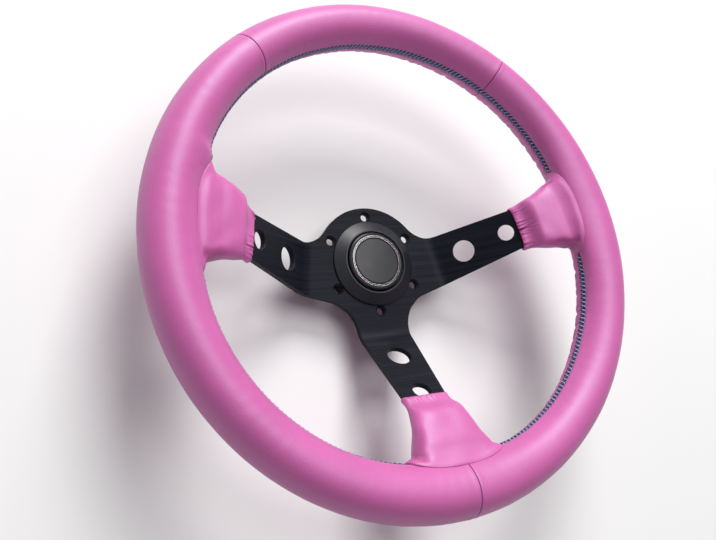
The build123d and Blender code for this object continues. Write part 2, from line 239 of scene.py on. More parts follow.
def make_leather(name, base=(0.600, 0.122, 0.380), deep=(0.17, 0.010, 0.060), seed=0.0):
    m, nt, b = new_material(name)
    vec = coords(nt)
    # colour: slow mottling of the dye, with painted shade down in creases, folds, seams and hollows
    slow = noise_node(nt, coords(nt, (1, 1, 1), (seed, 0.3, 0.1)), 22.0, 3.0, 0.55)
    tone = ramp(nt, slow, [(0.30, tuple(c * 0.94 for c in base)), (0.72, tuple(min(1.0, c * 1.05) for c in base))])
    # painted shade: a vertex attribute holds how much shade is painted in, and mixes the dye towards the deep shade
    # colour
    at = node(nt, "ShaderNodeAttribute", attribute_name="painted_shade")
    depth = remap(nt, at.outputs["Fac"], 0.0, 1.0, 0.0, 1.0)
    colour = mix_colour(nt, depth, tone, deep)
    nt.links.new(colour, b.inputs["Base Color"])
    # grain: small pebbles, finer pores over them
    peb = node(nt, "ShaderNodeTexVoronoi", feature="SMOOTH_F1")
    peb.inputs["Scale"].default_value = 950.0
    peb.inputs["Smoothness"].default_value = 0.6
    wob = node(nt, "ShaderNodeTexNoise")
    wob.inputs["Scale"].default_value = 320.0
    nt.links.new(vec, wob.inputs["Vector"])
    add = node(nt, "ShaderNodeVectorMath", operation="MULTIPLY_ADD")
    nt.links.new(wob.outputs["Color"], add.inputs[0])
    add.inputs[1].default_value = (0.0012, 0.0012, 0.0012)
    nt.links.new(vec, add.inputs[2])
    nt.links.new(add.outputs["Vector"], peb.inputs["Vector"])
    pores = noise_node(nt, vec, 2600.0, 2.0, 0.6)
    wrinkle = noise_node(nt, coords(nt, (1, 1, 1), (0.4, seed, 0.2)), 110.0, 3.0, 0.55)
    n1 = bump(nt, wrinkle, 0.13, 0.0006)
    n2 = bump(nt, peb.outputs["Distance"], 0.26, 0.00022, n1)
    n3 = bump(nt, pores, 0.18, 0.00008, n2)
    nt.links.new(n3, b.inputs["Normal"])
    rough = remap(nt, pores, 0.3, 0.7, 0.43, 0.53)
    nt.links.new(rough, b.inputs["Roughness"])
    b.inputs["Specular IOR Level"].default_value = 0.85
    b.inputs["Specular Tint"].default_value = (0.60, 0.90, 1.0, 1.0)
    b.inputs["Sheen Weight"].default_value = 0.06
    b.inputs["Sheen Roughness"].default_value = 0.45
    b.inputs["Sheen Tint"].default_value = (0.65, 0.88, 1.0, 1.0)
    return m


def make_thread(name, light, dark):
    m, nt, b = new_material(name)
    uv = node(nt, "ShaderNodeUVMap", uv_map="uv")
    mp = node(nt, "ShaderNodeMapping")
    mp.inputs["Rotation"].default_value = (0, 0, math.radians(38))
    nt.links.new(uv.outputs["UV"], mp.inputs["Vector"])
    w = node(nt, "ShaderNodeTexWave", wave_type="BANDS", bands_direction="X")
    w.inputs["Scale"].default_value = 1.6
    w.inputs["Distortion"].default_value = 0.6
    w.inputs["Detail"].default_value = 1.0
    nt.links.new(mp.outputs["Vector"], w.inputs["Vector"])
    fuzz = noise_node(nt, coords(nt), 2200.0, 2.0)
    col = ramp(nt, w.outputs["Fac"], [(0.0, dark), (0.38, light), (1.0, tuple(min(1, c * 1.15) for c in light))])
    col = mix_colour(nt, remap(nt, fuzz, 0.35, 0.7, 0.0, 0.35), col, dark)
    nt.links.new(col, b.inputs["Base Color"])
    n1 = bump(nt, w.outputs["Fac"], 0.8, 0.00012)
    n2 = bump(nt, fuzz, 0.4, 0.00005, n1)
    nt.links.new(n2, b.inputs["Normal"])
    b.inputs["Roughness"].default_value = 0.45
    b.inputs["Sheen Weight"].default_value = 0.4
    b.inputs["Sheen Roughness"].default_value = 0.35
    return m


def make_anodised(name):
    m, nt, b = new_material(name)
    streak = noise_node(nt, coords(nt, (9, 1400, 0)), 1.0, 4.0, 0.62)
    band = noise_node(nt, coords(nt, (4, 230, 0)), 1.0, 3.0, 0.6)
    blotch = noise_node(nt, coords(nt), 18.0, 3.0, 0.5)
    tone = ramp(nt, band, [(0.30, (0.0030, 0.0034, 0.0050)), (0.55, (0.0062, 0.0074, 0.0115)), (0.78, (0.017, 0.020, 0.030))])
    col = mix_colour(nt, remap(nt, streak, 0.40, 0.80, 0.0, 0.8), tone, (0.024, 0.028, 0.042))
    col = mix_colour(nt, remap(nt, blotch, 0.4, 0.8, 0.0, 0.35), col, (0.003, 0.0035, 0.006))
    # painted shade: the cut edges, found from the direction of the normal, are coloured near-black without the brushed
    # sheen, darker than the faces to hide the light they catch
    geo = node(nt, "ShaderNodeNewGeometry")
    part = node(nt, "ShaderNodeSeparateXYZ")
    nt.links.new(geo.outputs["Normal"], part.inputs["Vector"])
    side = node(nt, "ShaderNodeMath", operation="ABSOLUTE")
    nt.links.new(part.outputs["Z"], side.inputs[0])
    face = remap(nt, side.outputs["Value"], 0.25, 0.65, 0.0, 1.0)
    col = mix_colour(nt, face, (0.0022, 0.0022, 0.0028), col)
    b.inputs["Specular IOR Level"].default_value = 0.10
    nt.links.new(col, b.inputs["Base Color"])
    b.inputs["Metallic"].default_value = 0.0
    nt.links.new(remap(nt, streak, 0.3, 0.7, 0.36, 0.50), b.inputs["Roughness"])
    b.inputs["Anisotropic"].default_value = 0.4
    n1 = bump(nt, band, 0.20, 0.00005)
    n2 = bump(nt, streak, 0.45, 0.00004, n1)
    nt.links.new(n2, b.inputs["Normal"])
    return m


def make_black(name, base=(0.020, 0.020, 0.023), rough=(0.34, 0.46), grain=1500.0, depth=0.00003, metallic=0.0, spec=0.5, turned=False):
    m, nt, b = new_material(name)
    vec = coords(nt)
    g = noise_node(nt, vec, grain, 3.0, 0.6)
    slow = noise_node(nt, vec, 60.0, 3.0, 0.5)
    col = ramp(nt, slow, [(0.35, tuple(c * 0.82 for c in base)), (0.7, tuple(min(1, c * 1.25) for c in base))])
    nt.links.new(col, b.inputs["Base Color"])
    nt.links.new(remap(nt, g, 0.3, 0.7, rough[0], rough[1]), b.inputs["Roughness"])
    n = bump(nt, g, 0.5, depth)
    if turned:
        w = node(nt, "ShaderNodeTexWave", wave_type="RINGS", rings_direction="Z")
        w.inputs["Scale"].default_value = 420.0
        w.inputs["Distortion"].default_value = 0.4
        nt.links.new(vec, w.inputs["Vector"])
        n = bump(nt, w.outputs["Fac"], 0.25, 0.00002, n)
    nt.links.new(n, b.inputs["Normal"])
    b.inputs["Metallic"].default_value = metallic
    b.inputs["Specular IOR Level"].default_value = spec
    return m


def make_metal(name, base, rough=(0.18, 0.30), grain=900.0, groove=None):
    m, nt, b = new_material(name)
    vec = coords(nt)
    g = noise_node(nt, vec, grain, 3.0, 0.55)
    slow = noise_node(nt, vec, 90.0, 3.0, 0.5)
    col = ramp(nt, slow, [(0.3, tuple(c * 0.86 for c in base)), (0.75, base)])
    b.inputs["Metallic"].default_value = 1.0
    if groove:
        # the groove between two radii, in metres, is coloured near-black and not metallic
        flat = node(nt, "ShaderNodeVectorMath", operation="MULTIPLY")
        flat.inputs[1].default_value = (1.0, 1.0, 0.0)
        nt.links.new(vec, flat.inputs[0])
        rad = node(nt, "ShaderNodeVectorMath", operation="LENGTH")
        nt.links.new(flat.outputs["Vector"], rad.inputs[0])
        mid, half = (groove[0] + groove[1]) / 2, (groove[1] - groove[0]) / 2
        off = node(nt, "ShaderNodeMath", operation="SUBTRACT")
        nt.links.new(rad.outputs["Value"], off.inputs[0])
        off.inputs[1].default_value = mid
        dist = node(nt, "ShaderNodeMath", operation="ABSOLUTE")
        nt.links.new(off.outputs["Value"], dist.inputs[0])
        bare = remap(nt, dist.outputs["Value"], half - 0.00004, half + 0.00004, 0.0, 1.0)
        col = mix_colour(nt, bare, (0.010, 0.010, 0.012), col)
        nt.links.new(bare, b.inputs["Metallic"])
    nt.links.new(col, b.inputs["Base Color"])
    nt.links.new(remap(nt, g, 0.3, 0.7, rough[0], rough[1]), b.inputs["Roughness"])
    nt.links.new(bump(nt, g, 0.3, 0.00001), b.inputs["Normal"])
    return m


M_RIM = make_leather("rim_leather_pink", seed=0.0)
M_BOOT = make_leather("boot_leather_pink", seed=0.9)
M_THREAD_L = make_thread("thread_light_blue", (0.42, 0.52, 0.82), (0.12, 0.12, 0.33))
M_THREAD_D = make_thread("thread_navy", (0.060, 0.050, 0.20), (0.012, 0.008, 0.045))
M_PLATE = make_anodised("anodised_brushed_plate")
M_BEZEL = make_black("bezel_satin_black", (0.007, 0.0085, 0.013), (0.30, 0.42), spec=0.50, turned=True)
M_HOUSING = make_black("housing_moulded_black", (0.010, 0.010, 0.011), (0.42, 0.55), 1100.0, spec=0.3)
M_CAP = make_black("cap_satin_black", (0.006, 0.006, 0.0075), (0.26, 0.36), spec=0.3)
M_DISC = make_black("disc_dark_satin", (0.030, 0.030, 0.033), (0.28, 0.40), spec=0.45)
M_SILVER = make_metal("ring_silver", (0.84, 0.84, 0.86), (0.12, 0.22), groove=(0.01778, 0.01852))
M_STEEL = make_metal("spring_steel", (0.58, 0.58, 0.60), (0.22, 0.34))
M_BRASS = make_metal("contact_brass", (0.80, 0.58, 0.27), (0.24, 0.38))
M_HOOP = make_black("hoop_painted", (0.035, 0.035, 0.038), (0.35, 0.5))
M_FOAM = make_black("moulded_foam_skin", (0.055, 0.052, 0.052), (0.6, 0.75), 700.0, 0.00006)
M_BOARD = make_black("fibre_board", (0.30, 0.17, 0.09), (0.55, 0.7), 1200.0)

CAD_FINISH = {
    "spoke_plate": M_PLATE, "rim_hoop": M_HOOP, "hoop_rivets": M_STEEL, "rim_foam": M_FOAM, "horn_bezel": M_BEZEL,
    "horn_housing": M_HOUSING, "housing_clips": M_STEEL, "horn_cap": M_CAP, "cap_ring": M_SILVER, "cap_disc": M_DISC,
    "moving_contact": M_BRASS, "fixed_contact": M_BRASS, "contact_washer": M_BOARD, "spring_seat": M_BRASS,
    "horn_spring": M_STEEL, "terminal_live": M_BRASS, "terminal_earth": M_BRASS,
}
for name, mat in CAD_FINISH.items():
    ob = NODES[name]
    if not ob.material_slots:
        ob.data.materials.append(mat)
    for s in ob.material_slots:
        s.material = mat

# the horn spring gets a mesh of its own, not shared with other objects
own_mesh(NODES["horn_spring"])

# ------------------------------------------------------------------ rim surface
R0, RA, RB, Z0 = 159.36, 15.6, 18.2, 59.8      # section centre radius, half sizes, height
TS = math.radians(178.1)                       # where the hide's edges meet on the inner side
HIDE = 1.15
PITCH = 3.1                                    # length of one cross of the lacing

# the arms: direction of the spoke, centre and half angle of the boot's seam along the rim, and its
# reach round the section to the front and to the back; the last value sets how dark the painted
# shade along the boot's seam is
ARMS = {
    "right": dict(beta=10.4, phi=6.9, dphi=13.4, front=35.0, rear=31.0, mirror=False, gather=1.0, apron=4.2, lobe=0.0, tuck=3.2,
                  cove=(1.4, 1.6), ridge=(4.6, 2.6, 0.50, 12.0), seam_shade=0.5),
    "left": dict(beta=10.4, phi=7.6, dphi=14.6, front=25.5, rear=31.0, mirror=True, gather=1.15, apron=0.0, lobe=2.9, tuck=3.2,
                 cove=(2.0, 1.4), ridge=(7.2, 2.8, 0.60, 14.5), seam_shade=0.7),
    "bottom": dict(beta=270.0, phi=270.9, dphi=14.0, front=33.5, rear=33.5, mirror=False, gather=0.4, apron=0.0, lobe=0.0, tuck=1.5,
                   cove=(1.4, 1.4), ridge=(3.0, 2.0, 0.37, 10.0), seam_shade=0.9),
}
KN = 2.9


def wrap(a):
    return (a + math.pi) % (2 * math.pi) - math.pi


def swell(phi, th):
    """How far the padding under each boot lifts the hide round its seam."""
    out = 0.0
    for arm in ARMS.values():
        pc = math.radians(180 - arm["phi"] if arm["mirror"] else arm["phi"])
        off = wrap(phi - pc) / math.radians(-arm["dphi"] if arm["mirror"] else arm["dphi"])
        turn = wrap(th - math.pi)
        b = np.where(turn < 0, -turn / math.radians(arm["front"]), turn / math.radians(arm["rear"]))
        rk = (np.abs(off) ** KN + b ** KN) ** (1 / KN)
        # an apron of padding may slope from the boot to the rim's front, and a lobe fill its upper corner
        wide = 1.9 + arm["apron"] * smoothstep(0.0, 1.0, np.where(turn < 0, b, 0.0))
        out = out + 2.4 * np.exp(-rk ** 2 / 0.95) + wide * np.exp(-rk ** 2 / 3.2)
        out = out + arm["lobe"] * np.exp(-((off - 1.02) / np.where(off < 1.02, 0.30, 0.16)) ** 2 - (turn / math.radians(50)) ** 2)
    return out


def ell(phi, th, d):
    c, s = np.cos(th), np.sin(th)
    nr, nz = RB * c, RA * s
    k = np.sqrt(nr * nr + nz * nz)
    rho = R0 + RA * c + d * nr / k
    return np.stack([rho * np.cos(phi), rho * np.sin(phi), Z0 + RB * s + d * nz / k + 0 * phi], -1)


# length round the section from the laced line
_t = np.linspace(TS, TS + 2 * math.pi, 4001)
_p = np.stack([RA * np.cos(_t), RB * np.sin(_t)], -1)
_l = np.concatenate([[0], np.cumsum(np.linalg.norm(np.diff(_p, axis=0), axis=1))])
ROUND = _l[-1]


def theta_at(length):
    return np.interp(length, _l, _t)


def edge_spacing(total, first, far, grow=1.28, start=0.10):
    """Distances from 0 to total, close together at both ends."""
    d, step = [0.0], start
    while d[-1] < total / 2 and step < far:
        d.append(d[-1] + step)
        step *= grow
    near = np.array(d)
    mid = total - 2 * near[-1]
    n = max(1, int(round(mid / far)))
    return np.concatenate([near, near[-1] + mid * np.arange(1, n) / n, total - near[::-1]])


def roll(e, r=0.55):
    """Drop of a turned edge at distance e from it."""
    x = np.clip((r - e) / r, 0, 1)
    return -r * (1 - np.sqrt(np.maximum(1 - x * x, 0)))


SLOW = waves(11, 3, 26, 3, 26)
FINE = waves(12, 40, 130, 5, 30, 0.3)
_r = np.random.RandomState(5)
PUCKERS = []
_phi = 0.0
while _phi < 2 * math.pi - 0.03:
    PUCKERS.append((_phi, _r.uniform(0.25, 1.0), _r.uniform(0.9, 1.7), _r.uniform(-0.25, 0.25), _r.uniform(4.0, 9.0),
                    _r.uniform(0.0, 1.0)))
    _phi += _r.uniform(6.5, 12.5) / 143.8


def rim_relief(phi, length):
    """Relief of the hide over the plain section and the painted shade for its folds."""
    th = theta_at(length)
    rear, front = length, ROUND - length
    d = 0.07 * field(SLOW, phi, th) + 0.018 * field(FINE, phi, th)
    painted_shade = 0.0 * phi
    # the hide is drawn tight along the laced line, and gathers between the stitches
    q = np.minimum(rear, front)
    d = d + 0.30 * np.exp(-((q - 3.8) / 1.6) ** 2) - 0.25 * np.exp(-(q / 2.2) ** 2)
    pull = 0.0
    for p, s, w, slant, reach, fr in PUCKERS:
        x = wrap(phi - p) * 143.8
        if np.min(np.abs(x)) > 12:
            continue
        xr = x - slant * rear
        xf = x + slant * front
        env_r = smoothstep(2.2, 4.2, rear) * (0.4 + 0.6 * smoothstep(5.0, 12.0, rear)) * np.exp(-np.clip(rear - 14.5, 0, None) / reach)
        env_f = 0.32 * fr * smoothstep(2.2, 4.2, front) * np.exp(-np.clip(front - 4.0, 0, None) / (reach * 0.5))
        fold = np.exp(-(np.abs(xr) / w) ** 1.25) - 0.30 * np.exp(-((np.abs(xr) - 3.0) / 2.0) ** 2)
        pull = pull + s * (2.1 * fold * env_r + np.exp(-(xf / w) ** 2) * env_f)
    d = d - 0.48 * pull
    # painted shade in the puckers beside the laced line
    painted_shade = painted_shade + 0.16 * np.clip(pull, 0, 1)
    stitch = 0.5 + 0.5 * np.cos(phi * 143.8 * 2 * math.pi / PITCH)
    d = d - 0.12 * stitch * np.exp(-((q - 2.9) / 0.9) ** 2)
    return d, painted_shade


def sheet_shell(name, outer, inner, step, mats, attrs_outer, flip):
    """Closed hide: a fine outer grid, a coarser inner one, and the turned edges between them."""
    ni, nj = outer.shape[:2]
    rows = list(range(0, ni - 1, step)) + [ni - 1]
    inn = inner[rows]
    mi = len(rows)
    verts = np.concatenate([outer.reshape(-1, 3), inn.reshape(-1, 3)])
    off = ni * nj
    faces = []
    a = np.arange(ni * nj).reshape(ni, nj)
    q = np.stack([a[:-1, :-1], a[1:, :-1], a[1:, 1:], a[:-1, 1:]], -1).reshape(-1, 4)
    faces += q.tolist()
    b = off + np.arange(mi * nj).reshape(mi, nj)
    q = np.stack([b[:-1, :-1], b[:-1, 1:], b[1:, 1:], b[1:, :-1]], -1).reshape(-1, 4)
    faces += q.tolist()
    for oi, ii, rev in ((0, 0, False), (ni - 1, mi - 1, True)):
        for j in range(nj - 1):
            f = [a[oi, j], a[oi, j + 1], b[ii, j + 1], b[ii, j]]
            faces.append([int(x) for x in (f[::-1] if rev else f)])
    for j, rev in ((0, True), (nj - 1, False)):
        for m in range(mi - 1):
            top = [int(a[i, j]) for i in range(rows[m], rows[m + 1] + 1)]
            f = top + [int(b[m + 1, j]), int(b[m, j])]
            faces.append(f[::-1] if rev else f)
    attrs = {k: np.concatenate([v.reshape(-1), np.zeros(mi * nj)]) for k, v in attrs_outer.items()}
    return make_mesh(name, verts, faces, mats, attrs=attrs, flip=flip)


def wobble(p0, length):
    """A butt seam across the rim is not quite straight."""
    r = np.random.RandomState(int(abs(p0) * 10) + 3)
    a, b = r.uniform(0, 6.28, 2)
    u = length / ROUND * 2 * math.pi
    return (0.25 * np.sin(u + a) + 0.12 * np.sin(3 * u + b)) / 159.0


def rim_panel(name, a0, a1):
    p0, p1 = math.radians(a0), math.radians(a1)
    arc = edge_spacing((p1 - p0) * R0, 0.1, 0.80)
    across = edge_spacing(ROUND - 0.24, 0.1, 1.75, 1.26) + 0.12
    frac = arc / arc[-1]
    length = across[None, :] + 0 * arc[:, None]
    s0, s1 = p0 + wobble(a0 % 360, length), p1 + wobble(a1 % 360, length)
    gap = 0.05 / R0
    phi = (s0 + gap) * (1 - frac[:, None]) + (s1 - gap) * frac[:, None]
    th = theta_at(length)
    d, painted_shade = rim_relief(phi, length)
    e_end = np.minimum(arc, arc[-1] - arc)[:, None] + 0 * length
    e_lace = np.minimum(length - 0.12, ROUND - 0.12 - length)
    # butt seams: turned edge with a low swelling of the folded hide beside it
    d = d + 0.14 * np.exp(-((e_end - 1.8) / 1.4) ** 2) + roll(e_end, 0.42) + roll(e_lace, 0.5)
    d = d + swell(phi, th)
    # painted shade along the butt seams and along the laced edges
    painted_shade = np.clip(painted_shade + 0.85 * np.exp(-(e_end / 0.36) ** 2) + 0.8 * np.exp(-(e_lace / 0.7) ** 2), 0, 1)
    outer = ell(phi, th, d)
    inner = ell(phi, th, -HIDE + 0 * d)
    ob = sheet_shell(name, outer, inner, 4, [M_RIM], {"painted_shade": painted_shade}, flip=False)
    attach(ob, "wheel")
    return ob


for piece, a0, a1 in (("rim_hide_top", 53.0, 127.0), ("rim_hide_left", 127.0, 271.5), ("rim_hide_right", 271.5, 413.0)):
    ob = rim_panel(piece, a0, a1)
    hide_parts(piece.replace("rim_hide", "rim_leather"))

# ------------------------------------------------------------------ boots
# sections square to a spoke: distance, lower and upper reach across, front height, back height
RIGHT_ROWS = ((102.3, -24.4, 7.0, 46.4, 38.5), (105.0, -25.0, 7.4, 48.5, 40.4), (107.2, -25.6, 7.9, 50.6, 41.6),
              (108.8, -26.3, 8.5, 53.3, 42.5), (110.3, -27.0, 9.0, 56.8, 43.2), (111.9, -27.7, 9.5, 59.2, 43.8),
              (114.4, -28.6, 10.3, 60.7, 44.6), (120.0, -30.2, 12.0, 62.9, 46.0), (126.0, -32.1, 14.1, 65.0, 47.4),
              (130.8, -34.2, 16.2, 66.7, 48.5))
LEFT_ROWS = ((102.0, -24.3, 7.2, 46.3, 38.4), (104.7, -24.7, 8.2, 48.5, 40.2), (106.9, -25.2, 9.6, 50.5, 41.5),
             (108.6, -25.8, 11.0, 53.0, 42.5), (110.1, -26.4, 12.4, 56.6, 43.1), (111.7, -27.0, 13.7, 59.1, 43.7),
             (114.2, -27.8, 15.3, 60.5, 44.5), (120.0, -28.9, 18.1, 62.8, 46.0), (125.2, -30.2, 20.4, 64.3, 47.1),
             (129.4, -32.2, 22.0, 65.7, 48.2))
BOTTOM_ROWS = ((98.8, -15.7, 15.9, 43.6, 35.7), (101.7, -16.0, 16.7, 45.9, 37.9), (104.0, -16.3, 17.8, 48.1, 39.5),
               (105.8, -16.6, 18.6, 51.2, 40.4), (107.5, -16.9, 19.2, 54.6, 41.2), (109.6, -17.2, 19.8, 57.3, 41.9),
               (112.2, -17.6, 20.6, 59.1, 42.8), (118.5, -19.0, 22.6, 62.0, 44.9), (126.0, -21.6, 25.8, 65.0, 46.9),
               (133.0, -25.0, 29.6, 67.3, 48.9))


def quarter_loop(a, b, pa, pb, nq):
    """Closed flattened oval, nq points a quarter, evenly spaced in each quarter."""
    u = np.linspace(0, 1, 3001)
    t = (math.pi / 2) * (3 * u ** 2 - 2 * u ** 3)
    x, y = a * np.cos(t).clip(0) ** pa, b * np.sin(t).clip(0) ** pb
    l = np.concatenate([[0], np.cumsum(np.hypot(np.diff(x), np.diff(y)))])
    q = np.linspace(0, l[-1], nq + 1)
    x, y = np.interp(q, l, x), np.interp(q, l, y)
    xs = np.concatenate([x[:-1], -x[::-1][:-1], -x[:-1], x[::-1][:-1]])
    ys = np.concatenate([y[:-1], y[::-1][:-1], -y[:-1], -y[::-1][:-1]])
    return xs, ys


NQ = 52
_foam = NODES["rim_foam"].data
FOAM = BVHTree.FromPolygons([v.co / MM for v in _foam.vertices], [tuple(f.vertices) for f in _foam.polygons])


def foam_gap(points, outward):
    """Distance of each point from the foam, negative where the foam lies above it."""
    out = np.full(points.shape[:-1], 99.0)
    for idx in np.ndindex(*out.shape):
        co, way = Vector(points[idx]), Vector(outward[idx])
        near, _, _, dist = FOAM.find_nearest(co, 3.0)
        if near is None:
            continue
        hit, normal, _, depth = FOAM.ray_cast(co, way, 3.0)
        out[idx] = -depth if hit is not None and normal.dot(way) > 0 else dist
    return out


def boot_base(arm, rows):
    """Smooth sleeve from the neck on the spoke to the seam on the rim."""
    beta = math.radians(arm["beta"])
    u = np.array([math.cos(beta), math.sin(beta), 0.0])
    v = np.array([-math.sin(beta), math.cos(beta), 0.0])
    loops = []
    for s, w0, w1, zf, zb in rows:
        x, y = quarter_loop((w1 - w0) / 2, (zf - zb) / 2, 0.46, 0.76, NQ)
        # behind the plate the neck's hem stands further out, clear of the lightening hole
        tuck = arm["tuck"] * smoothstep(0.0, 1.0, -2 * y / (zf - zb)) * (1 - smoothstep(0.0, 9.0, s - rows[0][0]))
        loops.append(u * (s + tuck)[:, None] + ((w0 + w1) / 2 + x)[:, None] * v + np.array([0, 0, 1.0]) * ((zf + zb) / 2 + y)[:, None])
    pc, dp = math.radians(arm["phi"]), math.radians(arm["dphi"])
    for rk, lift in ((0.90, 0.9), (1.0, 0.35)):
        x, yf = quarter_loop(143.8 * dp * rk, 18.0 * math.radians(arm["front"]) * rk, 2 / KN, 2 / KN, NQ)
        x, yr = quarter_loop(143.8 * dp * rk, 18.0 * math.radians(arm["rear"]) * rk, 2 / KN, 2 / KN, NQ)
        y = np.where(yf > 0, yf, yr)
        phi, th = pc + x / 143.8, math.pi - y / 18.0
        # the foam makes a small cove between the boot's flanks and the rim
        cove = np.where(x > 0, arm["cove"][0], arm["cove"][1]) * (np.abs(x) / np.abs(x).max()) ** 4 if rk < 1 else 0.0
        loops.append(ell(phi, th, swell_arm(phi, th, arm) + lift + cove))
    return np.array(loops)


def swell_arm(phi, th, arm):
    """Swelling under one boot, for angles given on the unmirrored side."""
    return swell(math.pi - phi, th) if arm["mirror"] else swell(phi, th)


def boot(name, rows, seed):
    arm = ARMS[name]
    loops = boot_base(arm, rows)
    gaps = np.linalg.norm(np.diff(loops, axis=0), axis=2).mean(1)
    x = np.concatenate([[0], np.cumsum(gaps)])
    fine = np.concatenate([np.linspace(0, 12, 31)[:-1], np.linspace(12, x[-1] - 6, 48)[:-1], x[-1] - 6 + 6 * np.linspace(0, 1, 14)])
    base = natural_spline(x, loops, fine)
    n = grid_normals(base, True)
    # outward normals point away from the sleeve's own middle line
    mid = base.mean(1, keepdims=True)
    if ((base - mid) * n).sum() < 0:
        n = -n
    ni, nj = base.shape[:2]
    j = np.arange(nj)[None, :] / nj * 2 * math.pi          # 0 is the upper flank, pi/2 the front, pi the lower flank
    s = fine[:, None]
    r = np.random.RandomState(seed)
    frontness = np.clip(np.sin(j), 0, 1) ** 0.6
    d = np.zeros((ni, nj))
    painted_shade = np.zeros((ni, nj))
    # hem at the neck with its gathers
    d += 0.35 * np.exp(-((s - 1.9) / 1.5) ** 2) + roll(s, 0.6)
    per = np.linalg.norm(np.roll(base[0], -1, 0) - base[0], axis=1).sum()
    for k in range(17):
        c, w, a, reach = r.uniform(0, 2 * math.pi), r.uniform(0.45, 1.1), r.uniform(0.25, 1.0), r.uniform(2.5, 8.0)
        xx = wrap(j - c) * per / (2 * math.pi) - 0.25 * r.uniform(-1, 1) * s
        g = np.exp(-(xx / w) ** 2) * np.exp(-(s / reach) ** 2)
        d += arm["gather"] * a * (-0.60 * g + 0.55 * np.exp(-((np.abs(xx) - 1.6 * w) / w) ** 2) * np.exp(-(s / reach) ** 2))
        # painted shade in the hem's gathers
        painted_shade += 0.6 * a * g * arm["gather"]
    d = np.where(s < 7, np.maximum(d, -0.35 + 0.1 * d) + 0.25 * (1 - smoothstep(4, 7, s)), d)
    for c, near, far, w, deep, lean in FOLDS[name]:
        e = (fine[-1] - fine)[:, None] + 0 * j
        xx = wrap(j - math.radians(c)) * 60 / (2 * math.pi) - lean * (e - near)
        run = smoothstep(near - 1.0, near + 2.5, e) * (1 - smoothstep(far - 5.0, far, e))
        g = np.exp(-(xx / w) ** 2) * run
        d += -deep * g + 0.35 * deep * np.exp(-((xx - 1.9 * w) / (1.2 * w)) ** 2) * run
        # painted shade in the folds
        painted_shade += 0.55 * g
    # slow unevenness of hide over foam
    for k in range(14):
        a, b, c, e = r.uniform(0.05, 0.22), r.randint(1, 7), r.uniform(0, 6.28), r.uniform(0, 6.28)
        d += 0.07 * np.cos(a * s * 2 + c) * np.cos(b * j + e)
    # end on the rim: turned edge sunk against the rim's hide
    e_end = (fine[-1] - fine)[:, None] + 0 * j
    at, wide, high, low = arm["ridge"]
    d += (0.08 + high * frontness) * np.exp(-((e_end - at) / wide) ** 2) + roll(e_end, 0.5) - 0.12 * np.exp(-(e_end / 0.25) ** 2)
    d -= 0.55 * np.exp(-((e_end - low) / 3.8) ** 2) * frontness
    # painted shade along the seam on the rim and at the hem's edge
    painted_shade += arm["seam_shade"] * np.exp(-(e_end / 0.36) ** 2) + 0.25 * np.exp(-(s / 0.5) ** 2)
    for c, wide, near, far, fade, deep, lip in HOLLOWS[name]:
        e = (fine[-1] - fine)[:, None] + 0 * j
        run = smoothstep(near, near + 5.0, e) * (1 - smoothstep(far - fade, far, e))
        g = np.exp(-(wrap(j - math.radians(c)) / math.radians(wide)) ** 2) * run
        d += -deep * g + lip * np.exp(-(wrap(j - math.radians(c - 1.9 * wide)) / math.radians(0.9 * wide)) ** 2) * run
        # painted shade in the hollows of the flanks
        painted_shade += 0.35 * g
    # the hide lies over the foam: keep its outer face a hide's thickness above it
    flip = np.array([-1, 1, 1]) if arm["mirror"] else np.array([1, 1, 1])
    for _ in range(2):
        gap = foam_gap((base + n * d[..., None]) * flip, n * flip)
        short = np.clip(0.75 - gap, 0, 2.0) * smoothstep(2.0, 5.0, s)
        spread = short.copy()
        for di in (-3, -2, -1, 0, 1, 2, 3):
            for dj in (-3, -2, -1, 0, 1, 2, 3):
                shifted = np.roll(short, dj, 1)
                shifted = shifted if di == 0 else np.concatenate([shifted[max(di, 0):], np.zeros((abs(di), nj))]) if di > 0 \
                    else np.concatenate([np.zeros((abs(di), nj)), shifted[:di]])
                spread = np.maximum(spread, shifted * math.exp(-(di * di / 14.0 + dj * dj / 9.0)))
        d += spread
    outer = base + n * d[..., None]
    inner = base + n * (np.minimum(d, 0.0)[..., None] - 0.85)
    painted_shade = np.clip(painted_shade, 0, 1)
    if arm["mirror"]:
        outer = outer * np.array([-1, 1, 1])
        inner = inner * np.array([-1, 1, 1])
    rows_i = list(range(0, ni - 1, 4)) + [ni - 1]
    inn = inner[rows_i]
    mi = len(rows_i)
    verts = np.concatenate([outer.reshape(-1, 3), inn.reshape(-1, 3)])
    a = np.arange(ni * nj).reshape(ni, nj)
    b = ni * nj + np.arange(mi * nj).reshape(mi, nj)
    an, bn = np.roll(a, -1, 1), np.roll(b, -1, 1)
    faces = np.stack([a[:-1], a[1:], an[1:], an[:-1]], -1).reshape(-1, 4).tolist()
    faces += np.stack([b[:-1], bn[:-1], bn[1:], b[1:]], -1).reshape(-1, 4).tolist()
    faces += np.stack([a[0], an[0], bn[0], b[0]], -1).tolist()
    faces += np.stack([a[-1], b[-1], bn[-1], an[-1]], -1).tolist()
    ob = make_mesh("boot_hide_" + name, verts, faces, [M_BOOT],
                   attrs={"painted_shade": np.concatenate([painted_shade.ravel(), np.zeros(mi * nj)])}, flip=not arm["mirror"])
    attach(ob, "wheel")
    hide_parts("boot_" + name)
    return ob, outer, (n * (np.array([-1, 1, 1]) if arm["mirror"] else 1))


# folds near the rim: place round the sleeve in degrees (0 upper flank, 90 front, 180 lower flank),
# start and end distance from the seam, width, depth, lean
FOLDS = {
    "right": ((14, 6.5, 19.5, 0.70, 0.80, -0.08),),
    "left": (),
    "bottom": (),
}
